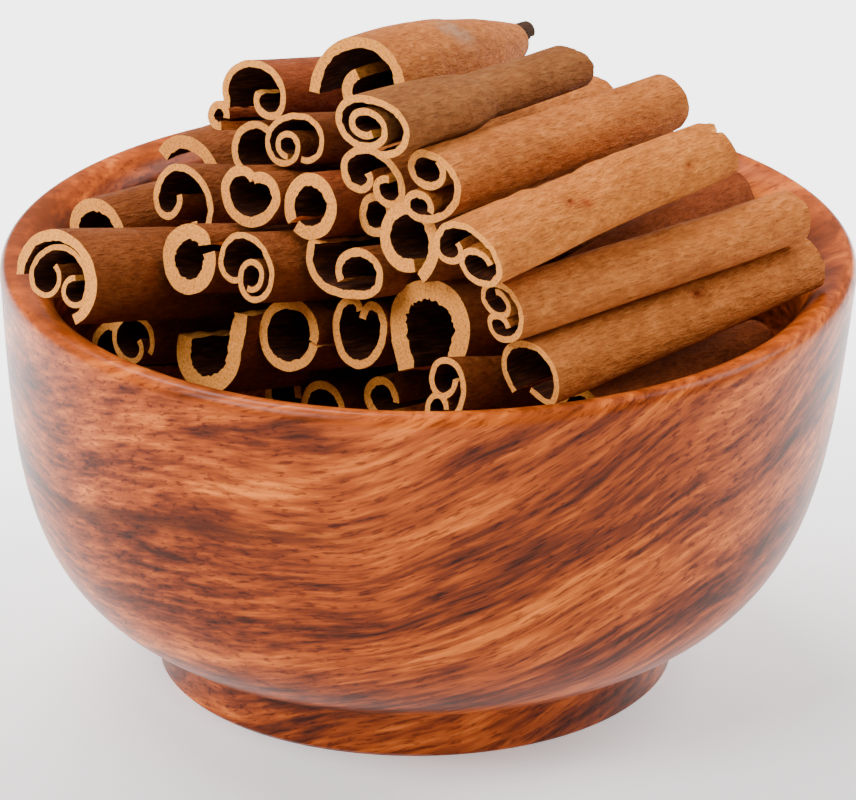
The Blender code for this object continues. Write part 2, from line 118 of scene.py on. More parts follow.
# Arcs are (radius, degrees) from the middle of the strip's back, all radii relative to each other.
# turn rolls the finished outline anticlockwise, so 180 puts the strip's back at the bottom.
SHAPES = {
    "big_scroll": Shape([(1.0, 80), (5.0, 6)], [(0.95, 110), (0.62, 150), (0.42, 70)], 0, 2.0),
    "roll_and_shell": Shape([(0.8, 200), (0.58, 180), (0.4, 200)], [(3.0, 12), (0.85, 165)], 0, 1.3),
    "two_curls": Shape([(1.0, 120), (0.5, 190)], [(1.3, 95), (0.5, 260)], 0, 1.4),
    "side_curls": Shape([(1.0, 100), (0.55, 310)], [(1.3, 90), (0.42, 290)], -90, 1.4),
    "small_side_curls": Shape([(1.0, 105), (0.6, 260)], [(1.2, 90), (0.5, 260)], -90, 1.1),
    "tilted_curls": Shape([(1.0, 100), (0.45, 220)], [(1.3, 80), (0.7, 150), (0.55, 190)], 0, 1.2),
    "side_roll": Shape([(1.0, 110), (0.6, 200), (0.42, 160)], [(1.1, 90), (0.45, 260)], -85, 1.2),
    "broken_arch": Shape([(1.0, 115), (3.0, 10)], [(1.1, 118), (0.3, 75), (3.0, 12)], 0, 1.2),
    "plain_roll": Shape([(1.0, 150)], [(1.0, 150)], 60),
    "outer_wrap": Shape([(1.0, 105)], [(1.05, 135)], 0, 1.9),
    "inner_wrap": Shape([(1.0, 90), (0.5, 240)], [(1.0, 95), (0.4, 250)], 0, 1.0),
    "thick_ring": Shape([(1.0, 135)], [(1.0, 211)], 0, 2.4),
    "open_channel": Shape([(1.0, 40), (0.42, 280)], [(1.3, 75)], 190, 1.2),
    "coil_and_drop": Shape([(1.0, 100), (0.6, 165), (0.4, 40)], [(2.2, 40), (0.9, 70), (0.35, 140)], 0, 1.3),
    "heart": Shape([(1.2, 75), (0.75, 110), (0.6, 42)], [(1.2, 75), (0.75, 110), (0.6, 42)], 180, 1.9),
    "slit_ring": Shape([(1.0, 164)], [(1.0, 158), (0.4, 50)], 135, 2.8),
    "loop_and_roll": Shape([(1.0, 100), (0.7, 110)], [(1.7, 60), (1.0, 60), (0.75, 170), (0.5, 260)], 0, 1.1),
    "roll_and_loop": Shape([(1.7, 60), (1.0, 60), (0.75, 170), (0.5, 260)], [(1.0, 110), (0.7, 80)], 0, 1.1),
    "double_loop": Shape([(1.0, 95), (0.45, 270)], [(1.2, 95), (0.45, 280)], 0, 1.2),
    "tight_roll": Shape([(1.0, 170), (0.6, 150)], [(1.0, 110)], 0, 1.1),
    "deep_cup": Shape([(1.0, 85), (10.0, 9)], [(1.0, 88), (6.0, 3)], 180, 3.2),
    "side_slit": Shape([(1.0, 172)], [(1.0, 168), (0.4, 40)], 95, 1.8),
    "turned_in_heart": Shape([(1.2, 75), (0.7, 110), (0.4, 90)], [(1.2, 75), (0.7, 110), (0.4, 60)], 180),
    "horseshoe": Shape([(1.0, 105), (6.0, 12)], [(1.0, 95), (6.0, 8)], 0, 3.6),
    "flap_ring": Shape([(1.0, 228)], [(1.25, 100), (4.0, 6)], -20, 2.3),
    "cup_and_coil": Shape([(3.2, 22), (0.85, 285)], [(1.2, 95), (5.0, 4)], 180),
    "open_arcs": Shape([(1.0, 115)], [(1.0, 115)], 90, 1.4),
    "arch_and_curl": Shape([(1.0, 100), (4.0, 8)], [(1.0, 105), (0.45, 190)], 0, 1.3),
    "plank": Shape([(1.6, 50)], [(1.6, 58)], 0, 2.6),
}

RIGHT_STICKS = [
    Stick(
        "stick_right_1", "big_scroll", 21.5, 17, 63, -12, "tan", 71, 0.5, profile=BELLIED,
        marks=(Mark(33, 38, 3.5, 0.25, 1.1), Mark(36, 50, 2.2, 0.2, 1.0), Mark(29, 30, 1.6, 0.2, 1.0)),
    ),
    Stick("stick_right_2", "roll_and_shell", 18, 12, 55, -7, "olive", 71, 0.64, profile=STEPPED),
    Stick("stick_right_3", "two_curls", 16.5, 11, 54, -5, "tan", 80, 0.65, -6),
    Stick("stick_right_4", "side_curls", 14.5, 15.5, 50, -3, "tan", 76, 0.8),
    Stick(
        "stick_right_5", "tilted_curls", 18, 12, 49, 0, "pale", 77, 0.8, -6, furrow=0.3, far_fray=8.0,
        marks=(Mark(27, 44, 1.5, 1.0), Mark(30, 60, 1.2, 0.8), Mark(33, -30, 6.0, 1.4), Mark(62, 70, 1.0, 1.2)),
    ),
    Stick("stick_right_6", "plain_roll", 12, 12, 54, 2, "red", 78),
    Stick("stick_right_7", "side_roll", 12.8, 12.8, 41, 0, "tan", 80, 0.84),
    Stick(
        "stick_right_8", "broken_arch", 16, 13, 45, 1, "tan", 81, 0.8,
        marks=(Mark(46, 36, 1.8, 0.9), Mark(44, 60, 3.0, 0.35)),
    ),
    Stick("stick_right_9", "plain_roll", 12, 12, 55, -6, "red", 66),
]

POKING_ROLL = Stick("poking_roll", "tight_roll", 4.6, 4.6, 0, 0, "dark", 16, 0.9, far_fray=0.5)
POKING_OUT = 7.0
POKING_PLACE = (0.4, 1.4)

# Most of these take the brown bark: painted shade on the bodies that lie recessed between the cut ends.
LEFT_STICKS = [
    Stick("stick_left_1", "outer_wrap", 22, 17.5, 50, -16, "brown", 78, tilt=-4),
    Stick("stick_left_1_strip", "inner_wrap", 16.4, 11.9, 50, -16, "brown", 77, tilt=-4),
    Stick("stick_left_2", "thick_ring", 16.5, 15, 46, -4),
    Stick("stick_left_3", "open_channel", 16, 10, 33, -18),
    Stick("stick_left_4", "coil_and_drop", 17.5, 13, 46, -16),
    Stick("stick_left_5", "heart", 15.5, 11.8, 50, -15),
    Stick("stick_left_6", "thick_ring", 13.5, 13.5, 50, -14, "red"),
    Stick("stick_left_7", "slit_ring", 14, 14.5, 50, -15),
    Stick("stick_left_8", "loop_and_roll", 15, 13.5, 50, -15),
    Stick("stick_left_9", "double_loop", 18, 12.5, 48, -17),
    Stick("stick_left_10", "deep_cup", 17, 20, 50, -15),
    Stick("stick_left_11", "side_slit", 15.5, 15, 50, -15),
    Stick("stick_left_12", "turned_in_heart", 14, 14.5, 50, -13),
    Stick("stick_left_13", "horseshoe", 20.5, 21.5, 50, -13),
    Stick("stick_left_14", "plain_roll", 9, 9, 50, -14),
    Stick("stick_left_15", "flap_ring", 15.5, 15.5, 50, -14),
    Stick("stick_left_16", "cup_and_coil", 20.5, 11, 50, -14),
    Stick("stick_left_17", "open_arcs", 9.5, 12, 50, -14, "red"),
    Stick("stick_left_18", "roll_and_loop", 15.5, 12, 50, -14),
    Stick("stick_left_19", "arch_and_curl", 16.5, 12, 53, -14, "red"),
    Stick("stick_left_20", "plain_roll", 6, 6, 48, -15, "red"),
    Stick("stick_left_21", "plank", 18, 8, 49, -4, "brown", 80, tilt=4),
    Stick("stick_left_22", "tight_roll", 12, 10.5, 47, -15, "red"),
]

DEEP_STICKS = [
    Stick("stick_deep_1", "plain_roll", 9, 9, 50, -8),
    Stick("stick_deep_2", "plain_roll", 12, 11, 48, -11),
    Stick("stick_deep_3", "plain_roll", 10, 10, 50, -10, "red"),
    Stick("stick_deep_4", "plain_roll", 11, 11, 48, -17, "red"),
    Stick("stick_deep_5", "small_side_curls", 9.5, 14.5, 52, -15),
]

# --- the colours, in sRGB, and their shades as shares of their red, green and blue ---------------------------
BARK_COLOURS = {
    "tan": "#C77231",
    # Pale is a lighter copy of the tan bark: painted light on stick_right_5, the stick that catches the most light.
    "pale": "#D27A31",
    # Brown is a darker copy of the tan bark: painted shade on the sticks at the left and deep in the heap, whose
    # bodies lie in shade.
    "brown": "#8E4A1E",
    "red": "#94451B",
    "olive": "#965A2A",
    "dark": "#4A3020",
}
BARK_SHADES = ((0.66, 0.60, 0.56), (1.0, 1.0, 1.0), (1.40, 1.75, 2.3))
SCAR_COLOUR = "#A89078"
# Inner face darkened beyond the bark's own colour: painted shade inside the curls, where little light reaches.
SHADED_INSIDE_COLOUR = "#3C1A0A"
INSIDE_SHADES = ((0.26, 0.23, 0.20), (1.0, 1.0, 1.0), (3.2, 4.1, 3.0))
CUT_COLOUR = "#F09A42"
CUT_SHADES = ((0.50, 0.38, 0.25), (1.0, 1.0, 1.0), (1.14, 1.36, 1.9))
WOOD_COLOUR = "#A64A14"
WOOD_SHADES = ((0.13, 0.12, 0.25), (0.45, 0.39, 0.6), (1.0, 1.0, 1.0), (2.1, 2.9, 3.4))
# Paler orange painted on the crown of the rim: painted light where the light from above falls on it, not a colour
# of the wood.
CROWN_LIGHT_COLOUR = "#CE5F1C"
FLOOR_COLOUR = "#F4F4F4"

# --- the bowl's grain, in millimetres: it lies lowest at one side and rises away from there ------------------
GRAIN_DRIFT = 16.0
GRAIN_LOW = -150.0
GRAIN_RISE = 0.0012
VEIN_HEIGHT = 54.0
VEIN_WIDTH = 3.2

# --- the studio -------------------------------------------------------------------------------------------
CAMERA_PLACE = (0.0, -1.6532, 0.7525)
CAMERA_AIM = (-0.0001, 0.0063, 0.0552)
CAMERA_LENS = 356.5
SENSOR_WIDTH = 36.0
FLOOR_SIZE = 12.0
# Strength of the floor's painted glow behind the bowl.
FLOOR_GLOW = 2.2


def srgb(code):
    """A hex sRGB colour as linear RGBA."""
    parts = [int(code[place : place + 2], 16) / 255 for place in (1, 3, 5)]
    linear = [part / 12.92 if part <= 0.04045 else ((part + 0.055) / 1.055) ** 2.4 for part in parts]
    return (*linear, 1.0)


def shades(colour, shares):
    """Darker and paler kinds of one linear colour."""
    return [(*(part * share for part, share in zip(colour, parts)), 1.0) for parts in shares]


# --- mesh helpers -----------------------------------------------------------------------------------------


def start(name, add, **settings):
    """Adds a primitive with nothing else selected and names it."""
    bpy.ops.object.select_all(action="DESELECT")
    add(**settings)
    obj = bpy.context.object
    obj.name = obj.data.name = name
    return obj


def select_where(obj, test, kind="EDGE"):
    """In edit mode, selects the vertices or edges all of whose corners pass the test."""
    bpy.ops.mesh.select_mode(type=kind)
    bpy.ops.mesh.select_all(action="DESELECT")
    bm = bmesh.from_edit_mesh(obj.data)
    for part in bm.edges if kind == "EDGE" else bm.verts:
        corners = part.verts if kind == "EDGE" else (part,)
        part.select_set(all(test(corner.co) for corner in corners))
    bmesh.update_edit_mesh(obj.data)


def points_of(mesh):
    points = np.empty(len(mesh.vertices) * 3, np.float32)
    mesh.vertices.foreach_get("co", points)
    return points.reshape(-1, 3).astype(float)


def move_points(mesh, points):
    mesh.vertices.foreach_set("co", points.astype(np.float32).ravel())
    mesh.update()


def apply_modifier(obj, name, kind, **settings):
    modifier = obj.modifiers.new(name, kind)
    for setting, value in settings.items():
        setattr(modifier, setting, value)
    bpy.ops.object.modifier_apply(modifier=name)


def finish_piece(obj, node):
    """Smooths a piece, hides its node's part and puts it on the frame."""
    bpy.ops.object.shade_smooth_by_angle(angle=math.radians(42))
    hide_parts(node)
    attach(obj, "root")


# --- materials --------------------------------------------------------------------------------------------


def add_node(tree, kind, inputs=None, **settings):
    """Adds a node with its settings, and sets or links its inputs."""
    node = tree.nodes.new(kind)
    for name, value in settings.items():
        setattr(node, name, value)
    for socket, value in (inputs or {}).items():
        if isinstance(value, bpy.types.NodeSocket):
            tree.links.new(value, node.inputs[socket])
        else:
            node.inputs[socket].default_value = value
    return node


def new_material(name):
    """An empty material: its node tree and its shader."""
    material = bpy.data.materials.new(name)
    material.use_nodes = True
    tree = material.node_tree
    return material, tree, tree.nodes["Principled BSDF"]


def set_ramp(node, *stops):
    """Gives a colour ramp its stops, as (place, colour) pairs."""
    ramp = node.color_ramp
    while len(ramp.elements) < len(stops):
        ramp.elements.new(1.0)
    for element, (place, colour) in zip(ramp.elements, stops):
        element.position = place
        element.color = colour
    return node.outputs["Color"]


def grain(tree, place, across_mm, along_mm, detail=3.0, rough=0.55):
    """Noise whose grains are so many millimetres across the stick and along it."""
    stretched = add_node(
        tree,
        "ShaderNodeMapping",
        {"Vector": place, "Scale": (1 / (across_mm * MM), 1 / (along_mm * MM), 1 / (across_mm * MM))},
    )
    inputs = {"Vector": stretched.outputs[0], "Scale": 1.0, "Detail": detail, "Roughness": rough}
    return add_node(tree, "ShaderNodeTexNoise", inputs).outputs["Fac"]


def mix(tree, share, first, second, blend="MIX"):
    """Two colours mixed."""
    node = add_node(tree, "ShaderNodeMix", data_type="RGBA", blend_type=blend)
    for socket, value in ((0, share), (6, first), (7, second)):
        if isinstance(value, bpy.types.NodeSocket):
            tree.links.new(value, node.inputs[socket])
        else:
            node.inputs[socket].default_value = value
    return node.outputs[2]


def bark_material(name, bark_colour):
    """Scraped inner bark of cassia, dried: matt, finely fibrous along the stick, mottled, with dark flecks."""
    material, tree, shader = new_material(name)
    dark, middle, pale = shades(bark_colour, BARK_SHADES)
    place = add_node(tree, "ShaderNodeAttribute", attribute_name="stick_place").outputs["Vector"]
    fibres = grain(tree, place, 0.45, 2.6, 3.0, 0.6)
    mottling = grain(tree, place, 1.5, 3.6, 5.0, 0.65)
    patches = grain(tree, place, 9.0, 20.0)
    flecks = grain(tree, place, 0.7, 1.6, 2.0)
    base = set_ramp(
        add_node(tree, "ShaderNodeValToRGB", {"Fac": mottling}), (0.20, dark), (0.50, middle), (0.84, pale)
    )
    lines = set_ramp(
        add_node(tree, "ShaderNodeValToRGB", {"Fac": fibres}), (0.30, (0.62, 0.56, 0.50, 1)), (0.56, (1, 1, 1, 1))
    )
    shade = set_ramp(
        add_node(tree, "ShaderNodeValToRGB", {"Fac": patches}), (0.34, (0.82, 0.78, 0.74, 1)), (0.60, (1, 1, 1, 1))
    )
    spots = set_ramp(
        add_node(tree, "ShaderNodeValToRGB", {"Fac": flecks}), (0.25, (0.45, 0.38, 0.34, 1)), (0.31, (1, 1, 1, 1))
    )
    colour = mix(tree, 0.85, base, lines, "MULTIPLY")
    colour = mix(tree, 1.0, colour, shade, "MULTIPLY")
    colour = mix(tree, 0.8, colour, spots, "MULTIPLY")
    pit = add_node(tree, "ShaderNodeAttribute", attribute_name="pit").outputs["Fac"]
    colour = mix(tree, pit, colour, dark, "MULTIPLY")
    scar = add_node(tree, "ShaderNodeAttribute", attribute_name="scar").outputs["Fac"]
    patchy = add_node(tree, "ShaderNodeMath", {0: scar, 1: mottling}, operation="MULTIPLY")
    colour = mix(tree, patchy.outputs[0], colour, srgb(SCAR_COLOUR))
    fine = add_node(tree, "ShaderNodeBump", {"Height": fibres, "Strength": 1.0, "Distance": 0.6 * MM})
    coarse = add_node(
        tree,
        "ShaderNodeBump",
        {"Height": mottling, "Strength": 1.0, "Distance": 1.4 * MM, "Normal": fine.outputs[0]},
    )
    tree.links.new(colour, shader.inputs["Base Color"])
    tree.links.new(coarse.outputs[0], shader.inputs["Normal"])
    shader.inputs["Roughness"].default_value = 0.72
    shader.inputs["Specular IOR Level"].default_value = 0.1
    return material


def inside_material(inner_colour):
    """The strip's inner face: darker than the back, partly from its own colour and partly from painted shade inside
    the curls, with coarse torn fibres along the stick.
    """
    material, tree, shader = new_material("bark_inner_face")
    dark, middle, pale = shades(inner_colour, INSIDE_SHADES)
    place = add_node(tree, "ShaderNodeAttribute", attribute_name="stick_place").outputs["Vector"]
    fibres = grain(tree, place, 0.7, 7.0, 4.0, 0.65)
    colour = set_ramp(
        add_node(tree, "ShaderNodeValToRGB", {"Fac": fibres}), (0.30, dark), (0.52, middle), (0.75, pale)
    )
    bump = add_node(tree, "ShaderNodeBump", {"Height": fibres, "Strength": 0.7, "Distance": 0.4 * MM})
    tree.links.new(colour, shader.inputs["Base Color"])
    tree.links.new(bump.outputs[0], shader.inputs["Normal"])
    shader.inputs["Roughness"].default_value = 0.8
    shader.inputs["Specular IOR Level"].default_value = 0.15
    return material


def cut_material(cut_colour):
    """Bark across a fresh cut: pale, dry and corky, with the ends of its fibres as fine specks."""
    material, tree, shader = new_material("bark_cut_face")
    dark, middle, pale = shades(cut_colour, CUT_SHADES)
    place = add_node(tree, "ShaderNodeAttribute", attribute_name="stick_place").outputs["Vector"]
    specks = grain(tree, place, 0.55, 2.0, 4.0, 0.7)
    colour = set_ramp(
        add_node(tree, "ShaderNodeValToRGB", {"Fac": specks}), (0.30, dark), (0.50, middle), (0.72, pale)
    )
    bump = add_node(tree, "ShaderNodeBump", {"Height": specks, "Strength": 0.8, "Distance": 0.4 * MM})
    tree.links.new(colour, shader.inputs["Base Color"])
    tree.links.new(bump.outputs[0], shader.inputs["Normal"])
    shader.inputs["Roughness"].default_value = 0.9
    shader.inputs["Specular IOR Level"].default_value = 0.15
    return material


def layers(tree, place, along_mm, deep_mm, across_mm, detail):
    """Noise drawn out into the layers of a plank, of a length, depth and thickness in millimetres."""
    scale = (1 / (along_mm * MM), 1 / (deep_mm * MM), 1 / (across_mm * MM))
    stretched = add_node(tree, "ShaderNodeMapping", {"Vector": place, "Scale": scale})
    inputs = {"Vector": stretched.outputs[0], "Scale": 1.0, "Detail": detail, "Roughness": 0.55}
    return add_node(tree, "ShaderNodeTexNoise", inputs).outputs["Fac"]


def wood_material(wood_colour):
    """Oiled acacia, turned and sanded: satin red brown, with orange streaks, dark veins and short dark pores, and
    painted light on its crown.
    """
    material, tree, shader = new_material("oiled_acacia")
    darkest, dark, middle, pale = shades(wood_colour, WOOD_SHADES)
    place = add_node(tree, "ShaderNodeTexCoord").outputs["Object"]
    drift = add_node(tree, "ShaderNodeTexNoise", {"Vector": place, "Scale": 1 / (55.0 * MM), "Detail": 1.0})
    drift = add_node(
        tree,
        "ShaderNodeVectorMath",
        {0: drift.outputs["Color"], 1: (0.0, 0.0, GRAIN_DRIFT * MM)},
        operation="MULTIPLY",
    )
    drifted = add_node(tree, "ShaderNodeVectorMath", {0: place, 1: drift.outputs[0]}, operation="ADD")
    axes = add_node(tree, "ShaderNodeSeparateXYZ", {"Vector": drifted.outputs[0]})
    across = add_node(tree, "ShaderNodeMath", {0: axes.outputs["X"], 1: GRAIN_LOW * MM}, operation="SUBTRACT")
    square = add_node(tree, "ShaderNodeMath", {0: across.outputs[0], 1: across.outputs[0]}, operation="MULTIPLY")
    rise = add_node(tree, "ShaderNodeMath", {0: square.outputs[0], 1: GRAIN_RISE / MM}, operation="MULTIPLY")
    height = add_node(tree, "ShaderNodeMath", {0: axes.outputs["Z"], 1: rise.outputs[0]}, operation="SUBTRACT")
    level = add_node(
        tree,
        "ShaderNodeCombineXYZ",
        {"X": axes.outputs["X"], "Y": axes.outputs["Y"], "Z": height.outputs[0]},
    ).outputs[0]
    bands = layers(tree, level, 90.0, 50.0, 11.0, 3.0)
    fibres = layers(tree, level, 13.0, 6.0, 1.4, 6.0)
    pores = layers(tree, level, 4.0, 1.5, 0.7, 3.0)
    figure = add_node(tree, "ShaderNodeMix", {0: 0.45, 2: bands, 3: fibres}).outputs[0]
    base = set_ramp(
        add_node(tree, "ShaderNodeValToRGB", {"Fac": figure}),
        (0.38, darkest),
        (0.46, dark),
        (0.54, middle),
        (0.66, pale),
    )
    dashes = set_ramp(
        add_node(tree, "ShaderNodeValToRGB", {"Fac": pores}), (0.35, (0.32, 0.2, 0.16, 1)), (0.45, (1, 1, 1, 1))
    )
    colour = mix(tree, 0.8, base, dashes, "MULTIPLY")
    beside = add_node(tree, "ShaderNodeMath", {0: height.outputs[0], 1: VEIN_HEIGHT * MM}, operation="SUBTRACT")
    away = add_node(tree, "ShaderNodeMath", {0: beside.outputs[0]}, operation="ABSOLUTE")
    vein = add_node(
        tree,
        "ShaderNodeMapRange",
        {"Value": away.outputs[0], "From Min": 0.6 * MM, "From Max": VEIN_WIDTH * MM, "To Min": 1.0, "To Max": 0.0},
        interpolation_type="SMOOTHSTEP",
    )
    fading = add_node(
        tree,
        "ShaderNodeMapRange",
        {"Value": axes.outputs["X"], "From Min": -5 * MM, "From Max": -40 * MM, "To Min": 0.0, "To Max": 0.7},
    )
    strength = add_node(
        tree, "ShaderNodeMath", {0: vein.outputs[0], 1: fading.outputs[0]}, operation="MULTIPLY"
    )
    colour = mix(tree, strength.outputs[0], colour, darkest)
    # Painted light: near the top of the rim the wood is mixed towards a paler orange, standing in for the light
    # that falls on the crown.
    wear_and_crown_light = add_node(
        tree,
        "ShaderNodeMapRange",
        {"Value": axes.outputs["Z"], "From Min": 0.094, "From Max": 0.100, "To Min": 0.0, "To Max": 0.22},
        interpolation_type="SMOOTHSTEP",
    )
    colour = mix(tree, wear_and_crown_light.outputs[0], colour, srgb(CROWN_LIGHT_COLOUR))
    bump = add_node(tree, "ShaderNodeBump", {"Height": pores, "Strength": 0.15, "Distance": 0.1 * MM})
    tree.links.new(colour, shader.inputs["Base Color"])
    tree.links.new(bump.outputs[0], shader.inputs["Normal"])
    shader.inputs["Roughness"].default_value = 0.3
    shader.inputs["Specular IOR Level"].default_value = 0.14
    return material


def floor_material():
    """Matt white studio paper, brightened behind the bowl by a painted glow of its own."""
    material, tree, shader = new_material("studio_paper")
    place = add_node(tree, "ShaderNodeTexCoord").outputs["Object"]
    tooth = add_node(tree, "ShaderNodeTexNoise", {"Vector": place, "Scale": 1 / (2.0 * MM)}).outputs["Fac"]
    bump = add_node(tree, "ShaderNodeBump", {"Height": tooth, "Strength": 0.02, "Distance": 0.05 * MM})
    tree.links.new(bump.outputs[0], shader.inputs["Normal"])
    # Painted glow: the paper itself gives off light, none in front of the bowl, rising to full strength behind it.
    back = add_node(tree, "ShaderNodeSeparateXYZ", {"Vector": place}).outputs["Y"]
    glow = add_node(
        tree,
        "ShaderNodeMapRange",
        {"Value": back, "From Min": -0.15, "From Max": 0.25, "To Min": 0.0, "To Max": FLOOR_GLOW},
        interpolation_type="SMOOTHSTEP",
    )
    tree.links.new(glow.outputs[0], shader.inputs["Emission Strength"])
    shader.inputs["Emission Color"].default_value = (1.0, 1.0, 1.0, 1.0)
    shader.inputs["Base Color"].default_value = srgb(FLOOR_COLOUR)
    shader.inputs["Roughness"].default_value = 0.9
    return material


def material(name, make, *settings):
    """The material of that name, made the first time it is asked for."""
    return bpy.data.materials.get(name) or make(*settings)


# --- the bowl ---------------------------------------------------------------------------------------------


def bezier(first, first_handle, last_handle, last, steps):
    """Points of one cubic curve, both ends included."""
    t = np.linspace(0.0, 1.0, steps + 1)[:, None]
    corners = [np.array(corner) for corner in (first, first_handle, last_handle, last)]
    weights = ((1 - t) ** 3, 3 * (1 - t) ** 2 * t, 3 * (1 - t) * t**2, t**3)
    return [tuple(point) for point in sum(weight * corner for weight, corner in zip(weights, corners))]


def elliptical_arc(centre, across, up, first, last, steps):
    """Points of an arc between two angles in degrees, both ends included."""
    angles = np.radians(np.linspace(first, last, steps + 1))
    return [(centre[0] + across * math.cos(angle), centre[1] + up * math.sin(angle)) for angle in angles]


def bowl_profile():
    """The bowl's profile as (radius, height), from its foot over the lip to the edge of its floor."""
    ring_inside = FOOT_RADIUS - FOOT_RING_WIDTH
    foot = [
        (ring_inside - FOOT_RECESS, FOOT_RECESS),
        (ring_inside, 0.0),
        (FOOT_RADIUS - FOOT_EDGE, 0.0),
        (FOOT_RADIUS, FOOT_EDGE),
        (FOOT_RADIUS + FOOT_FLARE, FOOT_HEIGHT),
    ]
    side = bezier((COVE_RADIUS, COVE_HEIGHT), SIDE_LOW_HANDLE, SIDE_HIGH_HANDLE, (RIM_RADIUS, LIP_HEIGHT), 40)
    crown = (RIM_RADIUS - CROWN_RADIUS, CROWN_HEIGHT - LIP_HEIGHT)
    lip = elliptical_arc((CROWN_RADIUS, LIP_HEIGHT), *crown, 0, 90, 8)
    across, up = CROWN_RADIUS - MOUTH_RADIUS, CROWN_HEIGHT - MOUTH_HEIGHT
    slope = elliptical_arc((CROWN_RADIUS, MOUTH_HEIGHT), across, up, 90, 180, 14)
    mouth, floor = (MOUTH_RADIUS, MOUTH_HEIGHT), (FLOOR_RADIUS, FLOOR_HEIGHT)
    hollow = bezier(mouth, HOLLOW_HIGH_HANDLE, HOLLOW_LOW_HANDLE, floor, 30)
    return foot + side + lip[1:] + slope[1:] + hollow[1:]


def ring_round(obj, radius, height):
    """Extrudes the selected ring of edges and brings the new ring to a radius and height."""
    bm = bmesh.from_edit_mesh(obj.data)
    corner = next(vert.co.copy() for vert in bm.verts if vert.select)
    share = radius * MM / math.hypot(corner.x, corner.y)
    rise = height * MM - corner.z
    bpy.ops.mesh.extrude_region_move(TRANSFORM_OT_translate={"value": (0.0, 0.0, rise)})
    bpy.ops.transform.resize(value=(share, share, 1.0), center_override=(0.0, 0.0, height * MM))


def model_bowl(scene):
    """The bowl, ring after ring along its profile as a turner's tool follows it."""
    profile = bowl_profile()
    radius, height = profile[0]
    bowl = start(
        "turned_bowl",
        bpy.ops.mesh.primitive_circle_add,
        vertices=scene.cinnamon_bowl.sides,
        radius=radius * MM,
        fill_type="NGON",
        location=(0.0, 0.0, height * MM),
    )
    bowl.data.transform(Matrix.Translation(bowl.location))
    bowl.location = (0.0, 0.0, 0.0)
    bpy.ops.object.mode_set(mode="EDIT")
    select_where(bowl, lambda place: math.hypot(place.x, place.y) > radius * MM * 0.99)
    for radius, height in profile[1:]:
        ring_round(bowl, radius, height)
    bpy.ops.mesh.edge_face_add()
    bpy.ops.mesh.poke()
    bpy.ops.mesh.select_all(action="SELECT")
    bpy.ops.mesh.normals_make_consistent(inside=False)
    bpy.ops.object.mode_set(mode="OBJECT")
    points = points_of(bowl.data)
    points[:, 0] -= FOOT_ASIDE * MM * np.clip(1 - points[:, 2] / (LIP_HEIGHT * MM), 0, 1)
    move_points(bowl.data, points)
    bowl.data.materials.append(material("oiled_acacia", wood_material, scene.cinnamon_bowl.wood))
    finish_piece(bowl, "bowl")


# --- the sticks -------------------------------------------------------------------------------------------


def curl(strip, arcs, side, spacing):
    """Curls one edge of the strip round a chain of arcs, which turn downwards from the middle of its back."""
    edge = Vector((side * SEED_WIDTH / 2, 0.0, 0.0))
    select_where(strip, lambda place: math.hypot(place.x - edge.x, place.z) < SEED_WIDTH / 10)
    x, z, heading = SEED_WIDTH / 2, 0.0, 0.0
    for radius, sweep in arcs:
        turn = math.radians(sweep)
        centre_x = x - radius * math.sin(heading)
        centre_z = z - radius * math.cos(heading)
        bpy.ops.mesh.spin(
            steps=max(2, round(radius * turn / spacing)),
            angle=-side * turn,
            center=(side * centre_x, 0.0, centre_z),
            axis=(0.0, 1.0, 0.0),
        )
        heading += turn
        x = centre_x + radius * math.sin(heading)
        z = centre_z + radius * math.cos(heading)


def curled_strip(stick, shape, spacing_mm, row_mm):
    """A strip of no thickness, curled, with its cut end at the origin's plane and its length along Y."""
    rows = round(stick.length / row_mm)
    strip = start(
        "peel_" + stick.node, bpy.ops.mesh.primitive_grid_add, x_subdivisions=1, y_subdivisions=rows, size=1.0
    )
    strip.data.transform(Matrix.Diagonal((SEED_WIDTH, 1.0, 1.0, 1.0)))
    spacing = spacing_mm * 2 / max(stick.width, stick.height)
    bpy.ops.object.mode_set(mode="EDIT")
    curl(strip, shape.left, -1, spacing)
    curl(strip, shape.right, 1, spacing)
    bpy.ops.mesh.select_all(action="SELECT")
    bpy.ops.mesh.normals_make_consistent(inside=False)
    bpy.ops.object.mode_set(mode="OBJECT")
    if strip.data.polygons[0].normal.z < 0:
        bpy.ops.object.mode_set(mode="EDIT")
        bpy.ops.mesh.flip_normals()
        bpy.ops.object.mode_set(mode="OBJECT")
    return strip


def fit(strip, stick, shape):
    """Rolls the curled strip and brings its middle surface to the stick's size."""
    strip.data.transform(Matrix.Rotation(-math.radians(shape.turn), 4, "Y"))
    points = points_of(strip.data)
    low, high = points.min(axis=0), points.max(axis=0)
    sizes = np.array([stick.width - shape.wall, stick.length, stick.height - shape.wall]) * MM
    points = (points - (low + high) / 2) * sizes / (high - low)
    points[:, 1] += stick.length * MM / 2
    move_points(strip.data, points)


def store(mesh, name, kind, values):
    """Keeps a value or a place with each vertex."""
    layer = mesh.attributes.new(name, kind, "POINT")
    layer.data.foreach_set("vector" if kind == "FLOAT_VECTOR" else "value", values.astype(np.float32).ravel())


def unevenness(points, seed, across_mm, along_mm):
    """Smooth noise from -1 to 1 at each point, with lumps of a size across and along the stick."""
    scale = np.array([1 / across_mm, 1 / along_mm, 1 / across_mm]) / MM
    return np.array([noise.noise(Vector(point) + Vector((seed, seed, seed))) for point in points * scale])


def widths_along(stick, share):
    """How wide the stick is at each share of its length, against its cut end."""
    shares, widths = zip(*(stick.profile or ((0.0, 1.0), (1.0, stick.taper))))
    return np.interp(share, shares, widths)


